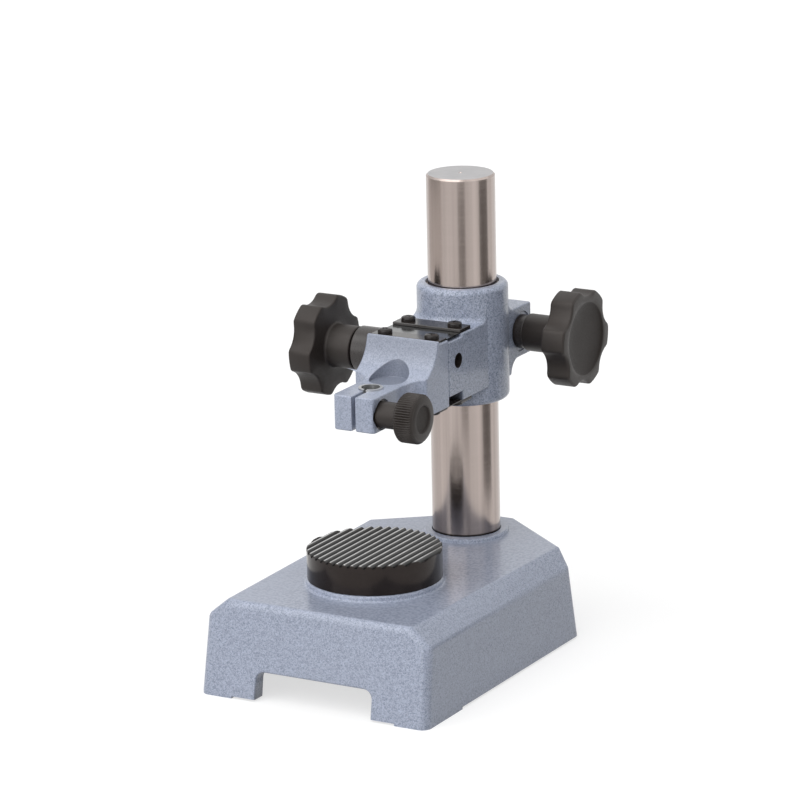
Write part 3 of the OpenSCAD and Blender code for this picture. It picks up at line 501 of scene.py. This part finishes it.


# Holder: hammered casting, its holes left crisp and the wall of its scoop painted darker, a painted shade.
def build_holder():
    bm = joined_copy("holder")
    seam = LEAF_FRONT + 6.9
    _, thumb_y, thumb_z = centre_of("thumb_stud")
    screw_x, screw_y, _ = centre_of("screw_upper_front_right")

    def scoop(p, edge):
        return near_line(p, 2, 0, SCOOP_Y, SCOOP_R + 0.2) and p[2] > ARM_TOP - 1.5

    def hole(p):
        return (near_line(p, 2, 0, STEM_Y, STEM_SEAT_R) or near_line(p, 0, thumb_y, thumb_z, THUMB_SEAT_R)
                or any(near_line(p, 2, side * screw_x, screw_y, SCREW_HOLE_R) for side in (-1, 1)))

    def outer(p, edge):
        return p[1] < seam and not hole(p) and not scoop(p, edge)

    def in_scoop_wall(face):
        off = [abs(math.hypot(v.co.x, v.co.y - SCOOP_Y * MM) - SCOOP_R * MM) for v in face.verts]
        return max(off) < 0.3 * MM and face.calc_center_median().z > (ARM_TOP - 1) * MM

    soften(bm, 0.7, outer)
    soften(bm, 0.2, scoop, 2)
    soften(bm, 0.3, lambda p, edge: p[1] > seam and abs(p[0]) > 6.5, 2)
    for face in bm.faces:
        face.material_index = 1 if in_scoop_wall(face) else 0
    softened_piece(bm, "holder_casting", [PAINT_HOLDER, PAINT_SCOOP_PAINTED_SHADE], "holder")


# Bracket: hammered casting, holes and pocket left crisp, the far journal's bore painted black: a painted
# shade.
def build_bracket():
    bm = joined_copy("bracket")
    seam = LEAF_FRONT + 7.6
    _, clamp_y, clamp_z = centre_of("clamp_stud")
    _, shaft_y, shaft_z = centre_of("fine_shaft")
    screw_x, screw_y, _ = centre_of("screw_upper_rear_right")

    def hole(p):
        return (near_line(p, 2, 0, COLUMN_Y, COLUMN_R + LINER_WALL)
                or near_line(p, 0, clamp_y, clamp_z, CLAMP_SEAT_R)
                or near_line(p, 0, shaft_y, shaft_z, SHAFT_SEAT_R)
                or abs(p[0]) < POCKET_HALF and p[1] < POCKET_BACK
                or abs(abs(p[0]) - screw_x) < SCREW_HOLE_R and abs(p[1] - screw_y) < SCREW_HOLE_R)

    def outer(p, edge):
        return p[1] > seam and edge.is_convex and not hole(p)

    def in_journal_bore(face):
        return all(v.co.x > 0 and near_line(v.co / MM, 0, shaft_y, shaft_z, JOURNAL_R + 0.1)
                   for v in face.verts)

    soften(bm, 0.7, outer)
    soften(bm, 0.3, lambda p, edge: p[1] < seam and abs(p[0]) > BLOCK_W / 2 - 0.4, 2)
    # The far journal's bore gets black oxide: a painted shade deep in the bore.
    for face in bm.faces:
        face.material_index = 1 if in_journal_bore(face) else 0
    softened_piece(bm, "bracket_casting", [PAINT_BRACKET, BLACK], "bracket")


# A strip or washer with its edges broken.
def broken_edges(node, mat, width):
    bm = joined_copy(node)
    soften(bm, width, lambda p, edge: True, 2)
    softened_piece(bm, node + "_piece", [mat], node)


# Lobed knob along its own +Z, in millimetres: hub, rounded lobes, and a dish of radius and depth pairs.
LOBES, HOLLOW_H, HOLLOW_R = 6, 3.2, 11.0
KNOB_STEPS = 216
HUB_ROUND, HUB_FILLET, BACK_ROUND, FACE_ROUND = 0.7, 1.2, 0.9, 1.15
DISH_EDGE_R, DISH_R = 16.2, 15.9
DISH = ((16.1, 0.10), (15.7, 0.42), (14.6, 0.80), (12.6, 1.14), (9.5, 1.42), (6.0, 1.57), (2.0, 1.6))
LOBE_BLUR = np.radians(np.linspace(-2.2, 2.2, 7))
FINE_ARC = np.radians((0, 22.5, 45, 67.5, 90))
COARSE_ARC = np.radians((0, 30, 60, 90))
ALONG_X = Matrix(((0, 0, 1), (0, 1, 0), (-1, 0, 0)))
ALONG_LEFT = Matrix(((0, 0, -1), (0, 1, 0), (1, 0, 0)))


def lobed_radius(angle):
    step = 2 * math.pi / LOBES
    centre = KNOB_R - HOLLOW_H + HOLLOW_R
    total = 0.0
    for shift in LOBE_BLUR:
        p = (angle + shift) % step - step / 2
        inside = HOLLOW_R ** 2 - (centre * math.sin(p)) ** 2
        hollow = centre * math.cos(p) - math.sqrt(inside) if inside > 0 else KNOB_R
        total += min(KNOB_R, hollow)
    return total / len(LOBE_BLUR)


def lobed_knob(hub_r, hub_l, bore_r, bore_l, phase):
    outline = np.array([lobed_radius(a - math.radians(phase)) for a in even_angles(KNOB_STEPS)])
    end = hub_l + KNOB_T
    inner, fillet_r = hub_r - HUB_ROUND, hub_r + HUB_FILLET
    back, face = outline - BACK_ROUND, outline - FACE_ROUND
    rows = [(bore_r, bore_l), (bore_r, 0.0), (inner, 0.0)]
    rows += [(inner + HUB_ROUND * math.sin(a), HUB_ROUND - HUB_ROUND * math.cos(a)) for a in COARSE_ARC[1:]]
    rows += [(fillet_r - HUB_FILLET * math.cos(a), hub_l - HUB_FILLET + HUB_FILLET * math.sin(a))
             for a in COARSE_ARC]
    rows += [(back * 0.5 + fillet_r * 0.5, hub_l)]
    rows += [(back + BACK_ROUND * math.sin(a), hub_l + BACK_ROUND - BACK_ROUND * math.cos(a))
             for a in FINE_ARC]
    rows += [(outline, hub_l + 0.5 * KNOB_T)]
    rows += [(face + FACE_ROUND * math.cos(a), end - FACE_ROUND + FACE_ROUND * math.sin(a)) for a in FINE_ARC]
    rows += [(0.35 * face + 0.65 * DISH_EDGE_R, end - 0.02)]
    rows += [(r, end - depth) for r, depth in DISH]
    return dished(turned(rows, KNOB_STEPS), end, DISH_R)


# Gives the dish in a knob's outer face and the rim round it their own finishes.
def dished(bm, end, dish_r):
    for face in bm.faces:
        at = face.calc_center_median() / MM
        if math.hypot(at[0], at[1]) < dish_r:
            face.material_index = 1 if at[2] > end - 2 else 0
        else:
            face.material_index = 2 if at[2] > end - 0.5 else 0
    return bm


def place(bm, turn, x, y, z):
    bm.transform(Matrix.Translation(Vector((x, y, z)) * MM) @ turn.to_4x4())
    return bm


def build_knobs():
    low, high = span("clamp_knob")
    _, y, z = centre_of("clamp_stud")
    skin = lobed_knob(8.25, high[0] - low[0] - KNOB_T, 4.03, 8.5, 22.0)
    clamp = finish_mesh(place(skin, ALONG_X, low[0], y, z), "clamp_knob_moulding", KNOB_FINISHES, 50.0)
    stand_for(clamp, "clamp_knob")
    low, high = span("fine_knob")
    _, y, z = centre_of("fine_shaft")
    hub_l = high[0] - low[0] - KNOB_T
    skin = lobed_knob(9.5, hub_l, 5.03, hub_l + 2, 21.0)
    fine = finish_mesh(place(skin, ALONG_LEFT, high[0], y, z), "fine_knob_moulding", KNOB_FINISHES, 50.0)
    grub, hole_r = centre_of("knob_grub"), 2.05
    hole = bmesh.new()
    bmesh.ops.create_cone(hole, cap_ends=True, segments=24, radius1=hole_r * MM, radius2=hole_r * MM,
                          depth=8 * MM)
    hole.transform(Matrix.Translation(Vector((grub[0], grub[1], grub[2] - 2)) * MM))
    cut(fine, finish_mesh(hole, "grub_hole", []))
    stand_for(fine, "fine_knob")


# Thumb knob: plain neck, straight knurl with broken ends, shallow dish.
def build_thumb():
    low, high = span("thumb_knob")
    _, y, z = centre_of("thumb_stud")
    r, end = (high[2] - low[2]) / 2, high[0] - low[0]
    neck_r, neck_l, bore_r, bore_l = 5.7, 11.0, 2.03, 10.5
    teeth, depth, tooth = 60, 0.5, np.array([0.0, 0.30, 0.92, 1.0, 0.92, 0.30])
    knurl = r - depth * (1 - np.tile(tooth, teeth))
    rows = [(bore_r, bore_l), (bore_r, 0.0), (neck_r - 0.4, 0.0), (neck_r, 0.4), (neck_r, neck_l - 0.6),
            (neck_r + 0.6, neck_l), (r - 1.3, neck_l), (r - 0.75, neck_l + 0.25)]
    rows += [(knurl, neck_l + 0.95), (knurl, (neck_l + end) / 2), (knurl, end - 1.5)]
    rows += [(r - 0.55, end - 0.9), (r - 1.2, end - 0.32), (r - 2.1, end)]
    rows += [(0.58 * r, end), (0.555 * r, end - 0.25), (0.52 * r, end - 0.7), (0.35 * r, end - 0.8),
             (1.0, end - 0.8)]
    skin = dished(turned(rows, teeth * len(tooth)), end, 0.56 * r)
    knob = finish_mesh(place(skin, ALONG_X, low[0], y, z), "thumb_knob_knurled", KNOB_FINISHES, 40.0)
    stand_for(knob, "thumb_knob")


# Pan head screw with a cross recess, its head standing on z = 0.
def pan_screw_mesh():
    sharp, recess_l, recess_w, recess_h, recess_z, recess_taper = 40.0, 4.0, 0.85, 2.2, 2.0, 0.6
    crown = ((0.985, 1.3), (0.93, 1.6), (0.82, 1.84), (0.66, 2.0), (0.45, 2.08), (0.2, HEAD_H))
    rows = [(SHANK_R - 0.4, -SHANK_L), (SHANK_R, -SHANK_L + 0.4), (SHANK_R, 0.0), (HEAD_R - 0.15, 0.0),
            (HEAD_R, 0.15), (HEAD_R, 1.05)]
    rows += [(HEAD_R * share, z) for share, z in crown]
    screw = finish_mesh(turned(rows, 48), "pan_screw", [SCREW_BLACK], sharp)
    for turn in (0, 90):
        tool = bmesh.new()
        bmesh.ops.create_cube(tool, size=1.0)
        for v in tool.verts:
            narrow = recess_taper if v.co.z < 0 else 1.0
            v.co = Vector((v.co.x * recess_l * narrow, v.co.y * recess_w * narrow,
                           v.co.z * recess_h + recess_z)) * MM
        tool.transform(Matrix.Rotation(math.radians(turn), 4, "Z"))
        cut(screw, finish_mesh(tool, "recess", []))
    mesh = screw.data
    mesh.materials.clear()
    mesh.materials.append(SCREW_BLACK)
    mesh.set_sharp_from_angle(angle=math.radians(sharp))
    bpy.data.objects.remove(screw)
    return mesh


# The eight strip screws, each with its recess turned another way, the lower ones upside down.
def build_screws():
    mesh = pan_screw_mesh()
    for index, node in enumerate(sorted(n for n in NODE if n.startswith("screw_"))):
        low, high = span(node)
        x, y, _ = centre_of(node)
        upper = "upper" in node
        seat = high[2] - HEAD_H if upper else low[2] + HEAD_H
        screw = bpy.data.objects.new(node + "_cross", mesh)
        SCENE.collection.objects.link(screw)
        turn = Matrix.Rotation(math.radians(17 + 37 * index), 4, "Z")
        if not upper:
            turn = Matrix.Rotation(math.pi, 4, "X") @ turn
        screw.matrix_world = Matrix.Translation(Vector((x, y, seat)) * MM) @ turn
        stand_for(screw, node)


# Leaf springs: thin plates between bracket and holder.
def build_leaves():
    # The lower leaf is black oxide, the upper one spring steel: a painted shade for the dark gap below.
    for node, mat in (("upper_leaf", SPRING), ("lower_leaf", BLACK)):
        low, high = span(node)
        bm = bmesh.new()
        bmesh.ops.create_grid(bm, x_segments=8, y_segments=40, size=0.5)
        for v in bm.verts:
            v.co = Vector(((v.co.x + 0.5) * (high[0] - low[0]) + low[0],
                           (v.co.y + 0.5) * (high[1] - low[1]) + low[1], low[2])) * MM
        made = bmesh.ops.extrude_face_region(bm, geom=list(bm.faces))
        for v in made["geom"]:
            if isinstance(v, bmesh.types.BMVert):
                v.co.z = high[2] * MM
        leaf = finish_mesh(bm, node + "_plate", [mat])
        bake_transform(leaf)
        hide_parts(node)


build_base()
build_holder()
build_bracket()
build_knobs()
build_thumb()
build_screws()
build_leaves()
for row, edge_w in (("rear", 0.25), ("front", 0.12)):
    broken_edges(row + "_upper_strip", STRIP_BLACK, edge_w)
    broken_edges(row + "_lower_strip", BLACK, edge_w)
broken_edges("clamp_washer", BLACK, 0.4)

# Finishes of the solids that show as they were packed.
NODE_FINISH = {
    "column": COLUMN, "anvil": ANVIL, "anvil_screw": BLACK, "column_bolt": BLACK, "column_washer": STEEL,
    "liner": LINER, "shaft_bush": BLACK, "stem_bush": BUSH_STEEL, "fine_shaft": BLACK, "shaft_clip": BLACK,
    "knob_grub": BLACK, "clamp_stud": STEEL, "thumb_washer": BLACK, "thumb_stud": STEEL,
}
for node_name, finish in NODE_FINISH.items():
    materials = NODE[node_name].data.materials
    materials.clear()
    materials.append(finish)

# Camera at the photograph's angle.
CAM_AZIMUTH, CAM_ELEVATION, CAM_ROLL = (math.radians(a) for a in (29.791, 15.384, -1.222))
CAM_AT = Vector((918.25, -1613.73, 624.08)) * MM
CAM_LENS, CAM_SENSOR = 202.23, 36.0
CAM_NEAR, CAM_FAR = 0.05, 60.0
CAM_RIGHT = Vector((math.cos(CAM_AZIMUTH), math.sin(CAM_AZIMUTH), 0))
CAM_BACK = Vector((math.sin(CAM_AZIMUTH) * math.cos(CAM_ELEVATION),
                   -math.cos(CAM_AZIMUTH) * math.cos(CAM_ELEVATION), math.sin(CAM_ELEVATION)))


def build_camera():
    up = CAM_BACK.cross(CAM_RIGHT)
    rolled_right = math.cos(CAM_ROLL) * CAM_RIGHT + math.sin(CAM_ROLL) * up
    rolled_up = math.cos(CAM_ROLL) * up - math.sin(CAM_ROLL) * CAM_RIGHT
    turn = Matrix((rolled_right, rolled_up, CAM_BACK)).transposed()
    camera = bpy.data.objects.new("camera", bpy.data.cameras.new("camera"))
    SCENE.collection.objects.link(camera)
    camera.matrix_world = Matrix.Translation(CAM_AT) @ turn.to_4x4()
    camera.data.lens, camera.data.sensor_width = CAM_LENS, CAM_SENSOR
    camera.data.clip_start, camera.data.clip_end = CAM_NEAR, CAM_FAR
    SCENE.camera = camera


# Stage: a pale floor that shows white where nothing shades it, cards that only mirrors see, and soft light.
FLOOR_HALF, FLOOR_SHADE, FLOOR_GLOW = 12.0, 0.40, 0.66
CARD_TINT = (1.0, 0.97, 0.95, 1)
WORLD_LIGHT = 0.37
BACKDROP_RAYS = ("Is Camera Ray", "Is Glossy Ray", "Is Transmission Ray")


# One for the rays that see the backdrop, nought for those that light the part.
def backdrop_share(tree):
    path = tree.nodes.new("ShaderNodeLightPath")
    total = path.outputs[BACKDROP_RAYS[0]]
    for kind in BACKDROP_RAYS[1:]:
        node = tree.nodes.new("ShaderNodeMath")
        node.operation = "MAXIMUM"
        tree.links.new(total, node.inputs[0])
        tree.links.new(path.outputs[kind], node.inputs[1])
        total = node.outputs[0]
    return total


def stage_material(name, **values):
    mat = bpy.data.materials.new(name)
    mat.use_nodes = True
    shader = mat.node_tree.nodes["Principled BSDF"]
    shader.inputs["Specular IOR Level"].default_value = 0.0
    for key, value in values.items():
        shader.inputs[key.replace("_", " ")].default_value = value
    return mat


def stage_plane(name, corners, mat):
    mesh = bpy.data.meshes.new(name)
    mesh.from_pydata(corners, [], [(0, 1, 2, 3)])
    mesh.materials.append(mat)
    obj = bpy.data.objects.new(name, mesh)
    SCENE.collection.objects.link(obj)
    return obj


def build_floor():
    mat = stage_material("pale_floor", Base_Color=(FLOOR_SHADE, FLOOR_SHADE, FLOOR_SHADE, 1), Roughness=0.9,
                         Emission_Color=(1, 1, 1, 1))
    tree = mat.node_tree
    glow = tree.nodes.new("ShaderNodeMath")
    glow.operation = "MULTIPLY"
    glow.inputs[1].default_value = FLOOR_GLOW
    tree.links.new(backdrop_share(tree), glow.inputs[0])
    tree.links.new(glow.outputs[0], tree.nodes["Principled BSDF"].inputs["Emission Strength"])
    stage_plane("floor", [(x * FLOOR_HALF, y * FLOOR_HALF, 0)
                          for x, y in ((-1, -1), (1, -1), (1, 1), (-1, 1))], mat)


# A standing card round the column, in millimetres. Its bearing is in degrees to the right of the camera.
def card(name, bearing, distance, half_angle, low, high, level):
    mat = stage_material(name, Base_Color=(0, 0, 0, 1), Emission_Color=CARD_TINT, Emission_Strength=level)
    toward = Vector((CAM_BACK.x, CAM_BACK.y, 0)).normalized()
    out = math.cos(math.radians(bearing)) * toward + math.sin(math.radians(bearing)) * CAM_RIGHT
    side = Vector((-out.y, out.x, 0)) * distance * math.tan(math.radians(half_angle))
    foot = Vector((0, COLUMN_Y, 0)) + out * distance
    obj = stage_plane(name, [tuple((foot + s * side + Vector((0, 0, h))) * MM)
                             for s, h in ((-1, low), (1, low), (1, high), (-1, high))], mat)
    obj.visible_camera = False
    obj.visible_diffuse = False
    obj.visible_shadow = False
    obj.visible_transmission = False


# A broad lamp whose share is the brightness it gives to a white surface that faces it.
def lamp(name, way, share, spread):
    obj = bpy.data.objects.new(name, bpy.data.lights.new(name, "SUN"))
    obj.data.energy = share * math.pi
    obj.data.angle = math.radians(spread)
    obj.rotation_mode = "QUATERNION"
    obj.rotation_quaternion = Vector(way).to_track_quat("Z", "Y")
    SCENE.collection.objects.link(obj)


def build_world():
    world = bpy.data.worlds.new("studio")
    SCENE.world = world
    world.use_nodes = True
    tree = world.node_tree
    shader = tree.nodes["Background"]
    shader.inputs["Color"].default_value = (1, 1, 1, 1)
    level = tree.nodes.new("ShaderNodeMapRange")
    level.inputs["To Min"].default_value = WORLD_LIGHT
    level.inputs["To Max"].default_value = 1.0
    tree.links.new(backdrop_share(tree), level.inputs["Value"])
    tree.links.new(level.outputs["Result"], shader.inputs["Strength"])


build_camera()
build_floor()
card("card_front", 0.0, 330, 11.5, 1, 140, 0.42)
card("card_right", 77.0, 210, 17.0, 1, 170, 0.26)
card("card_left", -100.0, 420, 32.0, 112, 450, 0.30)
card("card_left_low", -100.0, 420, 32.0, 1, 112, 0.86)
lamp("key", (-0.20, -0.74, 0.64), 0.68, 84.0)
lamp("overhead", (0.05, 0.0, 1.0), 0.24, 110.0)
build_world()
